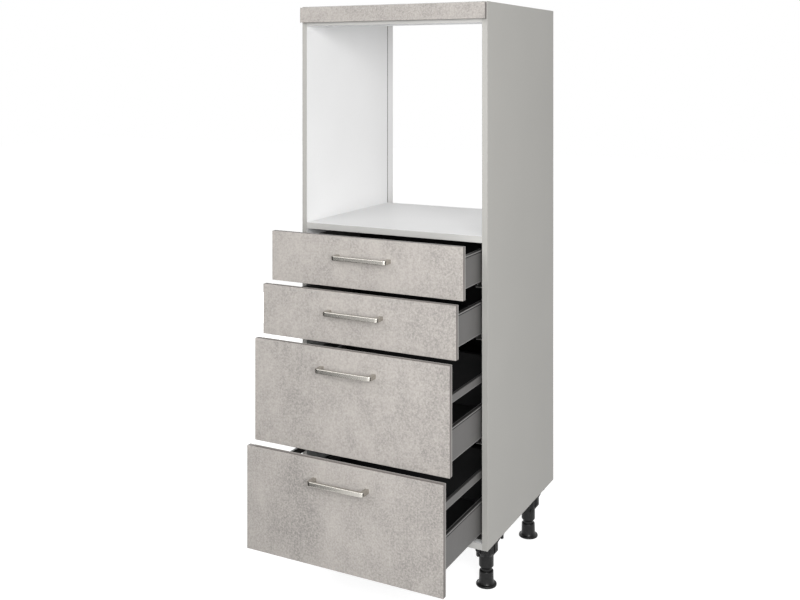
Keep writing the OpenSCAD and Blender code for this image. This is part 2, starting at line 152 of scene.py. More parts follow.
def stage_sheet(name, corners, paint):
    """One flat face between these four corners, as a part of the stage."""
    mesh = bpy.data.meshes.new(name)
    mesh.from_pydata(corners, [], [(0, 1, 2, 3)])
    mesh.materials.append(paint)
    staged = bpy.data.objects.new(name, mesh)
    bpy.context.scene.collection.objects.link(staged)
    staged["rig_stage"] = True
    return staged


def soft_lamp(name, at, towards, size, watts):
    """A square lamp of this size and power at one point, facing another."""
    data = bpy.data.lights.new(name, "AREA")
    data.size = size
    data.energy = watts
    lamp = bpy.data.objects.new(name, data)
    lamp.location = at
    lamp.rotation_euler = (Vector(towards) - Vector(at)).to_track_quat("-Z", "Y").to_euler()
    bpy.context.scene.collection.objects.link(lamp)


surround = bpy.data.worlds.new("white_surround")
surround.use_nodes = True
tree = surround.node_tree
strength = add(tree, "MapRange", {"Value": seen_ray(tree), "To Min": ambient, "To Max": 1.0})
tree.nodes["Background"].inputs["Color"].default_value = grey(1)
tree.links.new(strength.outputs[0], tree.nodes["Background"].inputs["Strength"])
bpy.context.scene.world = surround

floor_paint = bpy.data.materials.new("floor_paint")
floor_paint.use_nodes = True
tree = floor_paint.node_tree
tree.nodes.remove(tree.nodes["Principled BSDF"])
plain = add(tree, "BsdfDiffuse", {"Color": grey(floor_pale)})
lit = add(tree, "BsdfDiffuse", {"Color": grey(floor_lit)})
lift = add(tree, "Emission", {"Color": grey(1), "Strength": floor_lift})
white = add(tree, "AddShader", {0: lit.outputs[0], 1: lift.outputs[0]})
shown = add(tree, "MixShader", {0: seen_ray(tree), 1: plain.outputs[0], 2: white.outputs[0]})
tree.links.new(shown.outputs[0], tree.nodes["Material Output"].inputs["Surface"])
corner_signs = ((-1, -1), (1, -1), (1, 1), (-1, 1))
stage_sheet("floor", [(x * floor_half, y * floor_half, 0) for x, y in corner_signs], floor_paint)

soft_lamp("right_lamp", at=(1.9, -2.6, 1.6), towards=(0, 0, 1.1), size=1.8, watts=120)
soft_lamp("left_lamp", at=(-1.6, -3.0, 3.1), towards=(0, 0, 0.9), size=3.0, watts=68)
soft_lamp("rear_lamp", at=(-2.6, 2.9, 0.5), towards=(0, 0.4, 0.6), size=0.9, watts=48)

card_paint = bpy.data.materials.new("black_felt")
card_paint.use_nodes = True
card_paint.node_tree.nodes["Principled BSDF"].inputs["Base Color"].default_value = grey(card_black)
flat = 2 * mm  # how far a card that lies down is above the floor
dark_cards = {
    "dark_card_left": [(-2.6, -4.6, 0), (-2.6, 2.2, 0), (-2.6, 2.2, 3.0), (-2.6, -4.6, 3.0)],
    "dark_card_floor": [(-0.4, -1.0, flat), (-2.5, -4.6, flat), (-2.5, 2.2, flat), (-0.4, 2.2, flat)],
    "dark_card_right": [(2.6, -1.5, 0), (2.6, 0.4, 0), (2.6, 0.4, 2.6), (2.6, -1.5, 2.6)],
    "dark_card_floor_right": [(0.7, -0.6, flat), (2.6, -1.5, flat), (2.6, 0.4, flat), (0.7, -0.05, flat)],
}
for name, corners in dark_cards.items():
    card = stage_sheet(name, corners, card_paint)
    card.visible_camera = False
    card.visible_diffuse = False
    card.visible_shadow = False
    card.visible_transmission = False

# ---------- Carcass boards ----------
# Chipboard faced with melamine: white inside the unit, light grey on its outside. The front edges
# have a band, grey on the side panels and paler on the boards between them. The paler band is partly
# painted light, which lifts the shaded shelf edge. The shelf's and floor's rear edges are left raw.
# Holes and grooves are the CAD's own.
board_ease = 0.5 * mm
board_edge = 12 * mm  # edges longer than this are eased, and those of holes are not
board_slot = {"side_panel_left": "board_grey", "side_panel_right": "board_grey"}
inner_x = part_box("side_panel_right")[0].x
groove_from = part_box("back_panel")[0].y
groove_half = 2 * mm
groove_deep = 8.5 * mm
band_thick = 0.35 * mm
near = 0.3 * mm  # a point this close to a face counts as on it
just_inside = inner_x - 0.1 * mm
grey_melamine = (0.387, 0.379, 0.356, 1)
grey_band = (0.352, 0.346, 0.328, 1)
# Paler band for the boards between the side panels: partly painted light on their shaded front edges
pale_band_painted_light = (0.45, 0.445, 0.43, 1)
white_melamine = grey(0.785)
chip_light = (0.47, 0.36, 0.24, 1)
chip_dark = (0.20, 0.14, 0.085, 1)
# The grooves' dark brown is raw core darkened with painted shade in the recess
groove_brown_painted_shade = (0.10, 0.082, 0.062, 1)


def new_finish(name, values):
    """A material with these values on its shader's own sockets, with its nodes and its shader."""
    finish = bpy.data.materials.new(name)
    finish.use_nodes = True
    shader = finish.node_tree.nodes["Principled BSDF"]
    for socket, value in values.items():
        shader.inputs[socket].default_value = value
    return finish, finish.node_tree, shader


def cloud(tree, size, stretch=(1, 1, 1), detail=3.0, roughness=0.5):
    """Noise fixed in the object's own place, in blotches of size metres times stretch along each axis."""
    place = add(tree, "TexCoord").outputs["Object"]
    spread = add(tree, "Mapping", {"Vector": place, "Scale": [1 / (size * s) for s in stretch]})
    texture = {"Vector": spread.outputs[0], "Scale": 1.0, "Detail": detail, "Roughness": roughness}
    return add(tree, "TexNoise", texture).outputs[0]


def spread_over(tree, value, low, high, to_low=0.0, to_high=1.0):
    """Maps low to high onto to_low to to_high, and holds what lies outside at the ends."""
    ends = {"From Min": low, "From Max": high, "To Min": to_low, "To Max": to_high}
    return add(tree, "MapRange", {"Value": value, **ends}).outputs[0]


def noise_between(tree, noise, low, high):
    """Maps 0.3 to 0.7, where nearly all of a noise's values lie, onto low to high."""
    return spread_over(tree, noise, 0.3, 0.7, low, high)


def over(tree, value, limit):
    """1 where the value is over the limit, 0 elsewhere."""
    return maths(tree, "GREATER_THAN", value, limit)


def under(tree, value, limit):
    """1 where the value is under the limit, 0 elsewhere."""
    return maths(tree, "LESS_THAN", value, limit)


def both(tree, a, b):
    """1 where both are 1, 0 elsewhere."""
    return maths(tree, "MULTIPLY", a, b)


def within(tree, value, low, high):
    """1 where the value lies between low and high, 0 elsewhere."""
    return both(tree, over(tree, value, low), under(tree, value, high))


def blend(tree, share, first, second):
    """First where share is 0, second where it is 1."""
    return add(tree, "Mix", {0: share, 6: first, 7: second}, data_type="RGBA").outputs[2]


def shade(tree, colour, amount, noise):
    """The colour times a brightness that runs from 1 - amount to 1 + amount with the noise."""
    light = noise_between(tree, noise, 1 - amount, 1 + amount)
    colour = colour[:3] if isinstance(colour, tuple) else colour
    return add(tree, "VectorMath", {0: colour, "Scale": light}, operation="SCALE").outputs[0]


def relief(tree, shader, height, depth):
    """Bumps of this depth in metres, from a height between 0 and 1."""
    bump = add(tree, "Bump", {"Height": height, "Distance": depth, "Strength": 1.0})
    tree.links.new(bump.outputs[0], shader.inputs["Normal"])


def place_axis(tree, axis):
    """One of the object's own coordinates, in metres."""
    place = add(tree, "TexCoord").outputs["Object"]
    return add(tree, "SeparateXYZ", {0: place}).outputs[axis]


def chipboard(tree):
    """The raw core: chips of light and dark wood, a few millimetres long."""
    chips = cloud(tree, 2.2 * mm, (1.8, 1, 0.6), 4.0, 0.7)
    return blend(tree, spread_over(tree, chips, 0.38, 0.62), chip_dark, chip_light)


def body_of(node):
    """The CAD body that a node belongs to."""
    return frame["nodes"][node]["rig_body"]


def stand_in(name, mesh, finish, node):
    """The mesh as a piece at the origin, with its finish, that takes the CAD node's place on its body."""
    mesh.materials.clear()
    mesh.materials.append(finish)
    piece = bpy.data.objects.new(name, mesh)
    bpy.context.scene.collection.objects.link(piece)
    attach(piece, body_of(node))
    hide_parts(node)
    return piece


def even_shading(piece, sharp=35):
    """Smooth over bends of fewer degrees than sharp, sharp over the others, and even across flat faces."""
    piece.data.polygons.foreach_set("use_smooth", np.ones(len(piece.data.polygons), bool))
    piece.data.set_sharp_from_angle(angle=math.radians(sharp))
    even = piece.modifiers.new("even_shading", "WEIGHTED_NORMAL")
    even.keep_sharp = True
    even.weight = 100


def eased_copy(node, name, finish, ease, shortest, steps=2):
    """The CAD node's solid, its triangles merged into faces and its edges longer than shortest eased."""
    made = bmesh.new()
    made.from_mesh(frame["nodes"][node].data)
    bmesh.ops.remove_doubles(made, verts=made.verts, dist=1e-6)
    bmesh.ops.dissolve_limit(made, angle_limit=math.radians(1), verts=made.verts, edges=made.edges)
    weight = made.edges.layers.float.new("bevel_weight_edge")
    for edge in made.edges:
        if edge.calc_length() > shortest and edge.calc_face_angle(0) > math.radians(40):
            edge[weight] = 1
    mesh = bpy.data.meshes.new(name)
    made.to_mesh(mesh)
    made.free()
    piece = stand_in(name, mesh, finish, node)
    bevel = piece.modifiers.new("eased_edges", "BEVEL")
    bevel.limit_method = "WEIGHT"
    bevel.width = ease
    bevel.segments = steps
    even_shading(piece)


board_finish, tree, shader = new_finish("melamine_board", {"Roughness": 0.42, "Specular IOR Level": 0.32})
from_middle = maths(tree, "ABSOLUTE", place_axis(tree, "X"))
from_front = place_axis(tree, "Y")
outside = over(tree, from_middle, inner_x + near)
banded = under(tree, from_front, band_thick)
on_side_panel = over(tree, from_middle, just_inside)
raw_rear = both(tree, over(tree, from_front, groove_from - near), under(tree, from_middle, just_inside))
beside_groove = maths(tree, "ABSOLUTE", maths(tree, "SUBTRACT", from_front, groove_from + groove_half))
in_groove = both(tree, outside, under(tree, from_middle, inner_x + groove_deep))
in_groove = both(tree, in_groove, under(tree, beside_groove, groove_half + near))
pearl = cloud(tree, 0.9 * mm, detail=2.0)
paint = blend(tree, outside, white_melamine, grey_melamine)
# The boards between the side panels take the paler band, partly painted light that lifts their shaded edges
paint = blend(tree, banded, paint, blend(tree, on_side_panel, pale_band_painted_light, grey_band))
paint = shade(tree, paint, 0.02, pearl)
paint = shade(tree, paint, 0.015, cloud(tree, 250 * mm, detail=1.0))
paint = blend(tree, raw_rear, paint, chipboard(tree))
# Painted shade: the inside of the groove is painted darker than the raw core
paint = blend(tree, in_groove, paint, groove_brown_painted_shade)
tree.links.new(paint, shader.inputs["Base Color"])
relief(tree, shader, pearl, 0.02 * mm)

between_panels = ("bottom_panel", "oven_shelf", "top_panel", "front_traverse")
for node in (*board_slot, *between_panels):
    steps = 1 if node == "top_panel" else 2  # a second step would stand proud of its front corner
    eased_copy(node, node + "_board", board_finish, board_ease, board_edge, steps)

# ---------- Cams and dowels ----------
# Zinc cams let into the boards' undersides draw steel bolts in, and beech dowels beside them
# keep the boards from turning. Cast zinc is dull and slightly pitted, and the beech is ribbed.
zinc = (0.55, 0.56, 0.57, 1)
beech_dark = (0.42, 0.26, 0.13, 1)
beech_light = (0.62, 0.43, 0.26, 1)
cam_finish, tree, shader = new_finish("cast_zinc", {"Metallic": 1.0})
pits = cloud(tree, 0.8 * mm, detail=4.0)
tree.links.new(shade(tree, zinc, 0.18, pits), shader.inputs["Base Color"])
tree.links.new(noise_between(tree, pits, 0.38, 0.55), shader.inputs["Roughness"])
relief(tree, shader, pits, 0.05 * mm)
beech_finish, tree, shader = new_finish("beech_dowel", {"Roughness": 0.6, "Specular IOR Level": 0.2})
fibres = cloud(tree, 1.2 * mm, (12, 1, 1), 3.0)
beech = blend(tree, spread_over(tree, fibres, 0.35, 0.65), beech_dark, beech_light)
tree.links.new(beech, shader.inputs["Base Color"])
relief(tree, shader, fibres, 0.1 * mm)


def refinish(node, finish):
    """The CAD node stays as it is and takes this finish."""
    mesh = frame["nodes"][node].data
    mesh.materials.clear()
    mesh.materials.append(finish)


refinish("panel_cams", cam_finish)
refinish("panel_dowels", beech_finish)

# ---------- Back panel ----------
# Thin hardboard slid into the side panels' grooves behind the drawers. Its inner face is
# lacquered a dark grey like the drawers' own boards, and is painted near black as painted shade
# behind the drawers. Its rear face is bare brown fibre.
hardboard = (0.235, 0.15, 0.085, 1)
dark_lacquer_painted_shade = grey(0.008)
rear_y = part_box("back_panel")[1].y
back_finish, tree, shader = new_finish("hardboard", {"Roughness": 0.62, "Specular IOR Level": 0.12})
fibre = cloud(tree, 1.5 * mm, detail=5.0, roughness=0.7)
bare = shade(tree, shade(tree, hardboard, 0.22, fibre), 0.1, cloud(tree, 120 * mm, detail=2.0))
rear_face = over(tree, place_axis(tree, "Y"), rear_y - 0.4 * mm)
# The inner face is near black: a dark lacquer and painted shade
faced = blend(tree, rear_face, shade(tree, dark_lacquer_painted_shade, 0.15, fibre), bare)
tree.links.new(faced, shader.inputs["Base Color"])
relief(tree, shader, fibre, 0.06 * mm)
eased_copy("back_panel", "back_board", back_finish, ease=0.3 * mm, shortest=2 * mm)

# ---------- Legs ----------
# Moulded black plastic. The ribbed socket is screwed under the corner of the carcass, the tube
# plugs into it, and the foot screws into the tube to level the unit.
leg_black = grey(0.010)
leg_sharp = 30
around, flutes, flute_deep = 96, 24, 0.35 * mm
foot_sole, foot_rim = 1.2 * mm, 2.2 * mm  # radii of the rounds below and above the foot's edge
foot_rim_at = 3.8 * mm  # height of the upper round's middle
# Half outlines as (radius, height, share of the flutes), in millimetres. The foot's heights are
# above its sole, and the tube's are above the floor.
foot_sleeve = [
    (24.6, 6.2, 0), (23.2, 7.0, 0), (22.2, 9.0, 0), (21.6, 11.5, 0), (21.2, 14.5, 0.5), (21.0, 16, 1),
    (20.7, 28, 1), (20.4, 39.4, 1), (20.1, 40.8, 0.5), (19.4, 41.6, 0), (18.6, 41.8, 0), (17.6, 41.8, 0),
    (17.2, 41.2, 0), (17.2, 30, 0), (13.8, 30, 0), (13.8, 78, 0), (0, 78, 0),
]
tube_outline = [
    (14.0, 34.6, 0), (14.6, 34, 0), (15.2, 34, 0), (15.8, 34.8, 0), (15.8, 48.4, 0), (16.2, 49.4, 0),
    (20.3, 54.5, 0), (20.9, 55.6, 0.5), (21.0, 57, 1), (21.0, 70, 1), (21.0, 84.2, 1), (20.8, 85.5, 0),
    (20.2, 86, 0), (17.0, 86, 0), (17.0, 125.4, 0), (16.4, 126, 0), (14.6, 126, 0), (14.0, 125.4, 0),
]

leg_finish, tree, shader = new_finish("moulded_black", {"Roughness": 0.3, "Specular IOR Level": 0.25})
skin = cloud(tree, 0.7 * mm, detail=3.0)
leg_colour = shade(tree, leg_black, 0.25, cloud(tree, 9 * mm, detail=3.0))
tree.links.new(leg_colour, shader.inputs["Base Color"])
tree.links.new(noise_between(tree, skin, 0.28, 0.42), shader.inputs["Roughness"])
relief(tree, shader, skin, 0.03 * mm)


def ring_faces(rows, ring, looped):
    """Quads from each row of points to the next one. A looped set joins its last row to its first."""
    i, j = np.meshgrid(np.arange(rows - (not looped)), np.arange(ring), indexing="ij")
    after_i, after_j = (i + 1) % rows, (j + 1) % ring
    corners = (i * ring + j, i * ring + after_j, after_i * ring + after_j, after_i * ring + j)
    return np.stack(corners, -1).reshape(-1, 4).tolist()


def closed_mesh(name, parts):
    """One mesh of closed shells. Each part is (rows of ring points, looped), and one that isn't looped gets
    a cap on its first and its last ring."""
    points, faces = [], []
    for rows, looped in parts:
        base = sum(len(p) for p in points)
        count, ring = rows.shape[:2]
        found = ring_faces(count, ring, looped)
        if not looped:
            found += [list(range(ring))[::-1], list(range((count - 1) * ring, count * ring))]
        points.append(rows.reshape(-1, 3))
        faces += [[base + k for k in f] for f in found]
    mesh = bpy.data.meshes.new(name)
    mesh.from_pydata(np.vstack(points).tolist(), [], faces)
    made = bmesh.new()
    made.from_mesh(mesh)
    bmesh.ops.remove_doubles(made, verts=made.verts, dist=1e-6)
    bmesh.ops.dissolve_degenerate(made, dist=1e-7, edges=made.edges)
    bmesh.ops.recalc_face_normals(made, faces=made.faces)
    made.to_mesh(mesh)
    made.free()
    return mesh


def turned(centre, outline):
    """Rows of a lathe shape. Each outline point (radius, height, share) goes round the axis, its radius
    less that share of the flutes."""
    radius, height, share = np.array(outline, float).T
    angle = np.linspace(0, 2 * np.pi, around, endpoint=False)
    dip = flute_deep * (0.5 - 0.5 * np.cos(flutes * angle))
    r = radius[:, None] - share[:, None] * dip[None, :]
    x = centre[0] + r * np.cos(angle)
    y = centre[1] + r * np.sin(angle)
    z = np.repeat(height[:, None], around, 1) + centre[2]
    return np.stack([x, y, z], -1)


def arc_outline(centre, radius, start, stop, steps):
    """Outline points on an arc, from one angle to another in degrees, with no flutes."""
    a = np.radians(np.linspace(start, stop, steps))
    return [(centre[0] + radius * math.cos(t), centre[1] + radius * math.sin(t), 0.0) for t in a]


def in_metres(outline):
    """An outline in millimetres, with its radii and heights turned into metres."""
    return [(r * mm, z * mm, share) for r, z, share in outline]


foot_nodes = ("foot_front_left", "foot_front_right", "foot_rear_left", "foot_rear_right")
tube_parts = []
for node in foot_nodes:
    low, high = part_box(node)
    x, y = (low.x + high.x) / 2, (low.y + high.y) / 2
    foot_r = (high.x - low.x) / 2
    outline = [(0, 0, 0), (foot_r - foot_sole, 0, 0)]
    outline += arc_outline((foot_r - foot_sole, foot_sole), foot_sole, -90, 0, 4)
    outline += arc_outline((foot_r - foot_rim, foot_rim_at), foot_rim, 0, 85, 5)
    outline += in_metres(foot_sleeve)
    mesh = closed_mesh(node + "_turned", [(turned((x, y, low.z), outline), False)])
    even_shading(stand_in(node + "_turned", mesh, leg_finish, node), leg_sharp)
    tube_parts.append((turned((x, y, 0), in_metres(tube_outline)), True))
mesh = closed_mesh("leg_tubes_turned", tube_parts)
even_shading(stand_in("leg_tubes_turned", mesh, leg_finish, "leg_tubes"), leg_sharp)
eased_copy("leg_sockets", "leg_sockets_moulded", leg_finish, ease=0.4 * mm, shortest=1 * mm)

# ---------- Cabinet rails and middle members of the runners ----------
# Each rail is zinc-plated steel sheet, bent into a flange with a low web on the side panel and
# a rib that stands up inside the hollow drawer side. The middle member slides on that rib.
plated = (0.50, 0.50, 0.49, 1)
rail_finish, tree, shader = new_finish("zinc_plated_steel", {"Metallic": 1.0})
spangle = cloud(tree, 5 * mm, (1, 3, 1), 4.0, 0.6)
drawn = cloud(tree, 0.5 * mm, (1, 60, 1), 2.0)
tree.links.new(shade(tree, plated, 0.12, spangle), shader.inputs["Base Color"])
tree.links.new(noise_between(tree, spangle, 0.3, 0.46), shader.inputs["Roughness"])
relief(tree, shader, drawn, 0.02 * mm)
eased_copy("cabinet_rails", "cabinet_rails_bent", rail_finish, 0.35 * mm, 1 * mm)
refinish("rail_screws", cam_finish)
for i in range(1, 5):
    node = f"runner_slides_{i}"
    eased_copy(node, node + "_rolled", rail_finish, 0.8 * mm, 1 * mm, steps=3)

# ---------- Drawer sides ----------
# Two skins of steel sheet folded into one hollow wall, powder-coated in a mid grey, on a ledge that
# carries the drawer's bottom. A hem at the foot and a lip at the top stand proud of the outer face,
# with an open seam under the lip. A dark plastic strip with a slot closes the wall's top. The lip,
# the hem and the strip's inner edge are painted lighter as a painted highlight, and the seam and
# the slot are painted black as painted shade.
side_grey = (0.109, 0.106, 0.103, 1)
# Lighter grey for the lip, the hem and the strip's inner edge: a painted highlight
painted_highlight_grey = (0.22, 0.216, 0.211, 1)
strip_black = (0.045, 0.044, 0.043, 1)
# Black for the seam and the slot: painted shade
painted_shade_black = grey(0.006)
sheet = 1.2 * mm
wall = 12.5 * mm
ledge = 24.4 * mm
web = 32 * mm  # height of the hollow that the runner stands in
lip_tall, seam_tall, hem_tall = 3.2 * mm, 3.0 * mm, 2.4 * mm
face_back, seam_back = 0.4 * mm, 1.5 * mm  # how far the face and the seam lie behind the lip
strip_from, strip_skin = 1.8 * mm, 0.4 * mm
slot_from, slot_to = 5 * mm, 8 * mm
inner_edge = 2.2 * mm


def powder_coated(name):
    """A powder-coated finish, its nodes, its shader and the plain coat that is its colour at first."""
    finish, tree, shader = new_finish(name, {"Roughness": 0.45, "Specular IOR Level": 0.3})
    powder = cloud(tree, 0.6 * mm, detail=3.0)
    coat = shade(tree, shade(tree, side_grey, 0.05, powder), 0.03, cloud(tree, 60 * mm, detail=2.0))
    tree.links.new(coat, shader.inputs["Base Color"])
    tree.links.new(noise_between(tree, powder, 0.4, 0.52), shader.inputs["Roughness"])
    relief(tree, shader, powder, 0.03 * mm)
    return finish, tree, shader, coat


def noted(tree, name):
    """What note_along stored under this name."""
    return add(tree, "Attribute", attribute_name=name).outputs["Fac"]


def note_along(mesh, name, axis, sign, start):
    """Stores under this name how far each point lies past start, along one axis or against it."""
    co = np.empty(len(mesh.vertices) * 3, np.float32)
    mesh.vertices.foreach_get("co", co)
    mesh.attributes.new(name, "FLOAT", "POINT").data.foreach_set("value", sign * co[axis::3] - start)


side_finish, tree, shader, coat = powder_coated("powder_coated_side")
behind = noted(tree, "behind_face")
below = noted(tree, "below_top")
proud = under(tree, behind, near)
at_lip = both(tree, proud, under(tree, below, lip_tall + 0.1 * mm))
at_hem = both(tree, proud, under(tree, noted(tree, "above_foot"), hem_tall))
seam_face = within(tree, behind, 0.8 * mm, seam_back + 0.2 * mm)
in_seam = both(tree, seam_face, within(tree, below, lip_tall - near, lip_tall + seam_tall + near))
on_strip = both(tree, under(tree, below, strip_skin), over(tree, behind, strip_from))
in_slot = both(tree, on_strip, within(tree, behind, slot_from, slot_to))
at_inner_edge = both(tree, on_strip, within(tree, behind, wall - inner_edge, wall + 0.1 * mm))
# Painted highlight: the lip and the hem are painted lighter
coat = blend(tree, maths(tree, "ADD", at_lip, at_hem), coat, painted_highlight_grey)
# Painted shade: the seam's recessed face is painted black
coat = blend(tree, in_seam, coat, painted_shade_black)
coat = blend(tree, on_strip, coat, strip_black)
# Painted shade: the slot is painted black on the strip, which has no opening
coat = blend(tree, in_slot, coat, painted_shade_black)
# Painted highlight: the strip's inner edge is painted lighter
coat = blend(tree, at_inner_edge, coat, painted_highlight_grey)
tree.links.new(coat, shader.inputs["Base Color"])


def rounded_outline(corners, steps=4):
    """A closed outline in a plane, each of whose corners (x, z, radius) becomes an arc."""
    made = []
    for k, (x, z, r) in enumerate(corners):
        here = np.array((x, z))
        back = np.array(corners[k - 1][:2]) - here
        on = np.array(corners[(k + 1) % len(corners)][:2]) - here
        back, on = back / np.linalg.norm(back), on / np.linalg.norm(on)
        half = math.acos(max(-1, min(1, float(back @ on)))) / 2
        middle = here + (back + on) / np.linalg.norm(back + on) * r / math.sin(half)
        first = here + back * r / math.tan(half) - middle
        last = here + on * r / math.tan(half) - middle
        t = np.linspace(0, 1, steps)[:, None]
        sweep = math.pi - 2 * half
        made.append(middle + (np.sin((1 - t) * sweep) * first + np.sin(t * sweep) * last) / math.sin(sweep))
    return np.vstack(made)


def carried_along_y(outline, ys):
    """Rows of an outline in XZ carried along Y to each of these places."""
    rows = np.repeat(outline[None, :, :], len(ys), 0)
    y = np.repeat(np.array(ys, float)[:, None], outline.shape[0], 1)
    return np.stack([rows[..., 0], y, rows[..., 1]], -1)


def side_profile(tall):
    """The folded wall's outline as (x, z) from the foot of its outer face, with x below 0 inwards."""
    lip = tall - lip_tall
    hollow = -sheet - face_back
    corners = [
        (0, 0, 0.5 * mm),
        (0, hem_tall, 0.3 * mm),
        (-face_back, hem_tall + face_back, 0.2 * mm),
        (-face_back, lip - seam_tall, 0.2 * mm),
        (-seam_back, lip - seam_tall, 0.1 * mm),
        (-seam_back, lip, 0.1 * mm),
        (0, lip, 0.4 * mm),
        (0, tall, 1.6 * mm),
        (-wall, tall, 1.6 * mm),
        (-wall, sheet, 0.8 * mm),
        (-ledge, sheet, 0.4 * mm),
        (-ledge, 0, 0.4 * mm),
        (-wall + sheet, 0, 0.8 * mm),
        (-wall + sheet, web, 0.5 * mm),
        (hollow, web, 0.5 * mm),
        (hollow, 0, 0.4 * mm),
    ]
    return rounded_outline(corners)


for i in range(1, 5):
    for hand, sign in (("left", -1), ("right", 1)):
        node = f"drawer_side_{hand}_{i}"
        low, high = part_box(node)
        face = max(abs(low.x), abs(high.x))
        outline = side_profile(high.z - low.z)
        outline = np.stack([sign * (face + outline[:, 0]), low.z + outline[:, 1]], -1)
        mesh = closed_mesh(node + "_folded", [(carried_along_y(outline, [low.y, high.y]), False)])
        note_along(mesh, "behind_face", 0, -sign, -face)
        note_along(mesh, "below_top", 2, -1, -high.z)
        note_along(mesh, "above_foot", 2, 1, low.z)
        even_shading(stand_in(node + "_folded", mesh, side_finish, node))

# ---------- Gallery rails ----------
# Square steel tubes with rounded corners run from the front to the back of the two deep drawers,
# above their sides, in the same powder coat. Their tops are dark like those of the sides, and a band
# at their foot is painted lighter as a painted highlight.
gallery_w = 10 * mm
gallery_round = 1.6 * mm
rail_coat, tree, shader, coat = powder_coated("powder_coated_rail")
on_top = under(tree, noted(tree, "below_top"), 0.2 * mm)
at_foot = within(tree, noted(tree, "above_foot"), 0.2 * mm, hem_tall)
coat = blend(tree, on_top, coat, strip_black)
# Painted highlight: a band at the tube's foot is painted lighter
coat = blend(tree, at_foot, coat, painted_highlight_grey)
tree.links.new(coat, shader.inputs["Base Color"])


def rounded_ring(low, high, inset, radius, steps):
    """A rectangle with rounded corners in XZ, inset from the box on every side."""
    x0, z0, x1, z1 = low.x + inset, low.z + inset, high.x - inset, high.z - inset
    corners = [(x0, z0, radius), (x1, z0, radius), (x1, z1, radius), (x0, z1, radius)]
    return rounded_outline(corners, steps)


def tube_along_y(low, high, radius, thick):
    """A rectangular tube as one looped set of rows: out along its outside, and back along its inside."""
    outer = carried_along_y(rounded_ring(low, high, 0, radius, 6), [low.y, high.y])
    inner = carried_along_y(rounded_ring(low, high, thick, radius - thick, 6), [high.y, low.y])
    return np.concatenate([outer, inner])


for i in (3, 4):
    node = f"gallery_rails_{i}"
    low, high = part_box(node)
    left = (low, Vector((low.x + gallery_w, high.y, high.z)))
    right = (Vector((high.x - gallery_w, low.y, low.z)), high)
    tubes = [(tube_along_y(a, b, gallery_round, sheet), True) for a, b in (left, right)]
    mesh = closed_mesh(node + "_drawn", tubes)
    note_along(mesh, "below_top", 2, -1, -high.z)
    note_along(mesh, "above_foot", 2, 1, low.z)
    even_shading(stand_in(node + "_drawn", mesh, rail_coat, node))

# ---------- Drawer bottoms, backs and brackets ----------
# Bottoms and backs are chipboard faced in a dark grey melamine with a fine grain, painted near
# black as painted shade inside the drawers. The brackets that join them to the steel sides are
# punched from sheet and powder-coated like the sides.
# Near black: a dark melamine and painted shade inside the drawers
drawer_dark_painted_shade = (0.016, 0.016, 0.0165, 1)
drawer_finish, tree, shader = new_finish("dark_melamine_painted_shade", {"Roughness": 0.5, "Specular IOR Level": 0.15})
pores = cloud(tree, 1.0 * mm, (1, 6, 1), 4.0)
tree.links.new(shade(tree, drawer_dark_painted_shade, 0.2, pores), shader.inputs["Base Color"])
relief(tree, shader, pores, 0.04 * mm)
bracket_coat = powder_coated("powder_coated_bracket")[0]
for i in range(1, 5):
    for node in (f"drawer_bottom_{i}", f"drawer_back_{i}"):
        eased_copy(node, node + "_board", drawer_finish, ease=0.4 * mm, shortest=2 * mm)
    refinish(f"drawer_brackets_{i}", bracket_coat)

# ---------- Drawer fronts and fascia ----------
# Chipboard faced with a laminate that looks like cast concrete: pale grey with soft vertical
# clouds of fine dark specks. A thin band closes the edges, with a dark joint behind the face,
# and the rear face is plain light grey.
concrete_pale = (0.412, 0.385, 0.360, 1)
concrete_dark = (0.205, 0.193, 0.183, 1)
band_colour = (0.195, 0.178, 0.168, 1)
joint_colour = (0.13, 0.117, 0.111, 1)
rear_grey = (0.42, 0.41, 0.39, 1)
front_ease = 0.9 * mm
joint_to, band_to = 5.5 * mm, 13.0 * mm
# Where the cast clouds lie: across and up in millimetres, half their width and height, and their weight
cast_clouds = [
    (-135, 920, 130, 260, 0.24), (-150, 560, 120, 300, 0.50), (-140, 270, 120, 220, 0.68),
    (205, 250, 45, 170, 0.30), (62, 575, 40, 80, 0.25), (330, 560, 330, 1400, 0.50),
    (-110, 352, 90, 40, 0.2), (0, -100, 900, 700, 0.30), (100, 1630, 500, 70, 0.30),
]
# The widest cloud, centred below the fronts, makes them darker towards the bottom, and the tall one darkens
# their right half
drift_share, smear_share, shadow_share = 0.70, 0.18, 0.32
cast_low, cast_high = 0.34, 0.72  # the cast's values in its palest and darkest places


def cast_cloud(tree, across, up, half_w, half_h, weight):
    """The cloud's weight at its middle, falling to nothing at an ellipse round it, seen from the front."""
    place = add(tree, "TexCoord").outputs["Object"]
    middle = (-across / half_w, 0, -up / half_h)
    scale = (1 / half_w / mm, 0, 1 / half_h / mm)
    centred = add(tree, "Mapping", {"Vector": place, "Location": middle, "Scale": scale}).outputs[0]
    away = add(tree, "VectorMath", {0: centred}, operation="LENGTH").outputs["Value"]
    fall = {"Value": away, "From Min": 0.0, "From Max": 1.0, "To Min": weight, "To Max": 0.0}
    return add(tree, "MapRange", fall, interpolation_type="SMOOTHSTEP").outputs[0]


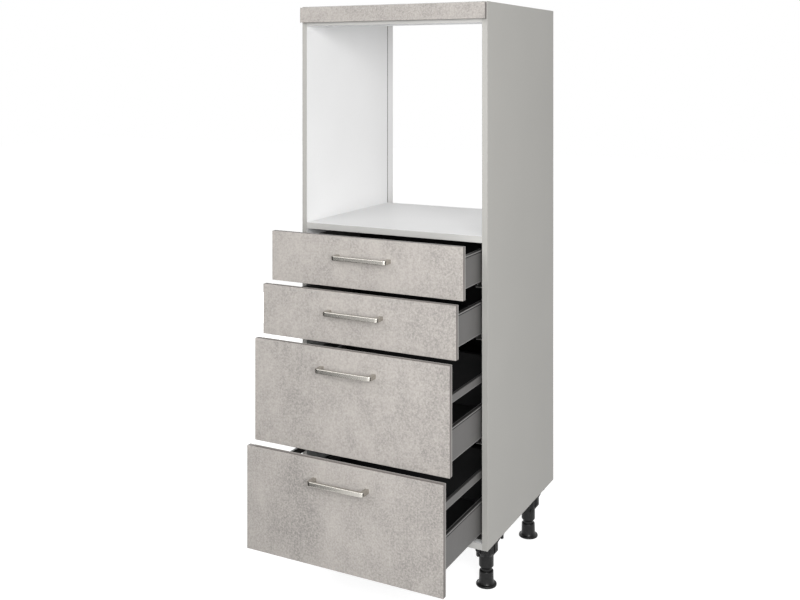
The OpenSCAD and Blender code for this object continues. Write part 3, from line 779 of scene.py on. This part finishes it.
laminate, tree, shader = new_finish("concrete_laminate", {"Roughness": 0.5, "Specular IOR Level": 0.3})
shadow = cast_cloud(tree, *cast_clouds[0])
for spot in cast_clouds[1:]:
    shadow = maths(tree, "ADD", shadow, cast_cloud(tree, *spot))
drift = cloud(tree, 60 * mm, (1, 1, 1.5), 6.0, 0.62)
smear = cloud(tree, 3 * mm, (1, 1, 16), 2.0)
sand = cloud(tree, 5 * mm, detail=3.0, roughness=0.7)
grit = cloud(tree, 2.4 * mm, detail=3.0, roughness=0.65)
drift_part = maths(tree, "MULTIPLY", drift, drift_share)
smear_part = maths(tree, "MULTIPLY", smear, smear_share)
shadow_part = maths(tree, "MULTIPLY", shadow, shadow_share)
cast = maths(tree, "ADD", maths(tree, "ADD", drift_part, smear_part), shadow_part)
patch = spread_over(tree, cast, cast_low, cast_high, 0.14, 0.62)
speck_strength = spread_over(tree, cast, cast_low, cast_high, 1.1, 2.6)
specks = maths(tree, "MULTIPLY", maths(tree, "SUBTRACT", sand, 0.5), speck_strength)
tone = blend(tree, maths(tree, "ADD", patch, specks), concrete_pale, concrete_dark)
tone = shade(tree, tone, 0.05, grit)
behind = noted(tree, "behind_face")
edge = shade(tree, shade(tree, band_colour, 0.12, smear), 0.05, grit)
edge = blend(tree, over(tree, behind, joint_to), joint_colour, edge)
edge = blend(tree, over(tree, behind, band_to), edge, rear_grey)
tone = blend(tree, over(tree, behind, front_ease), tone, edge)
tree.links.new(tone, shader.inputs["Base Color"])
tree.links.new(noise_between(tree, drift, 0.44, 0.58), shader.inputs["Roughness"])
relief(tree, shader, grit, 0.06 * mm)


def eased_slab(low, high, ease, steps=5):
    """Rows of a slab carried along Y: a rounded rectangle that shrinks along an arc towards each end."""
    t = np.linspace(math.pi / 2, 0, steps)
    stations = list(zip(ease * (1 - np.sin(t)), ease * (1 - np.cos(t))))
    near_end = [(low.y + step, inset) for step, inset in stations]
    far_end = [(high.y - step, inset) for step, inset in stations[::-1]]
    rows = []
    for y, inset in near_end + far_end:
        outline = rounded_ring(low, high, inset, max(ease - inset, 0.02 * ease), steps)
        rows.append(carried_along_y(outline, [y])[0])
    return np.stack(rows)


for node in ("drawer_front_1", "drawer_front_2", "drawer_front_3", "drawer_front_4", "fascia_rail"):
    low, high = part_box(node)
    mesh = closed_mesh(node + "_laminated", [(eased_slab(low, high, front_ease), False)])
    note_along(mesh, "behind_face", 1, 1, low.y)
    even_shading(stand_in(node + "_laminated", mesh, laminate, node))

# ---------- Handles ----------
# A bow of die-cast zinc in brushed nickel: two posts and a bar with rounded corners, fixed by
# two screws from behind. The brush marks run along the bar.
nickel = (0.52, 0.50, 0.46, 1)
handle_finish, tree, shader = new_finish("brushed_nickel", {"Metallic": 1.0})
brushing = cloud(tree, 0.4 * mm, (70, 70, 1), 3.0, 0.6)
tree.links.new(shade(tree, nickel, 0.1, brushing), shader.inputs["Base Color"])
tree.links.new(noise_between(tree, brushing, 0.18, 0.28), shader.inputs["Roughness"])
relief(tree, shader, brushing, 0.02 * mm)


def half_bow_line(half, out, bend):
    """Half of a bow's line in plan as (x, y): out along its post, then a quarter circle onto the bar."""
    line = [(half, 0), (half, -(out - bend) * 0.5)]
    for a in np.radians(np.linspace(0, 90, 9)):
        line.append((half - bend + bend * math.cos(a), -(out - bend) - bend * math.sin(a)))
    return line


def bow(low, high, post, bar, bend, inner_bend, bead):
    """Rows of the bow: a rounded section carried up one post, round the bend, along the bar and back down.
    Its width goes from the outer line to the inner one, and its height from low.z to high.z."""
    out = high.y - low.y
    half = (high.x - low.x) / 2
    inner_out = out - bar
    outer = half_bow_line(half, out, bend)
    inner = half_bow_line(half - post, inner_out, inner_bend)
    bar_at = np.linspace(half - bend, -(half - bend), 7)[1:-1]
    outer = np.array(outer + [(x, -out) for x in bar_at] + [(-x, y) for x, y in outer[::-1]])
    inner = np.array(inner + [(x, -inner_out) for x in bar_at] + [(-x, y) for x, y in inner[::-1]])
    tall = high.z - low.z
    section = []
    for width in np.linalg.norm(outer - inner, axis=1):
        ring = rounded_outline([(0, 0, bead), (width, 0, bead), (width, tall, bead), (0, tall, bead)], 6)
        section.append(np.stack([ring[:, 0] / width, ring[:, 1]], -1))
    section = np.array(section)
    share, rise = section[..., 0], section[..., 1]
    plan = outer[:, None, :] * (1 - share[..., None]) + inner[:, None, :] * share[..., None]
    middle = (low.x + high.x) / 2
    return np.stack([middle + plan[..., 0], high.y + plan[..., 1], low.z + rise], -1)


for i in range(1, 5):
    node = f"handle_{i}"
    low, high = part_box(node)
    rows = bow(low, high, post=12 * mm, bar=9 * mm, bend=10 * mm, inner_bend=4 * mm, bead=1.8 * mm)
    mesh = closed_mesh(node + "_cast", [(rows, False)])
    even_shading(stand_in(node + "_cast", mesh, handle_finish, node))
    refinish(f"handle_screws_{i}", cam_finish)

# ---------- Wall brackets and the carcass's screws ----------
# Small plated angles under the top panel take the screws that hold the unit to the wall. Pan-head
# screws fix them and the leg sockets.
eased_copy("wall_brackets", "wall_brackets_bent", rail_finish, 0.4 * mm, 3 * mm)
refinish("carcass_screws", cam_finish)

# ---------- The visual model's box ---------------------------
low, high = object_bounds()
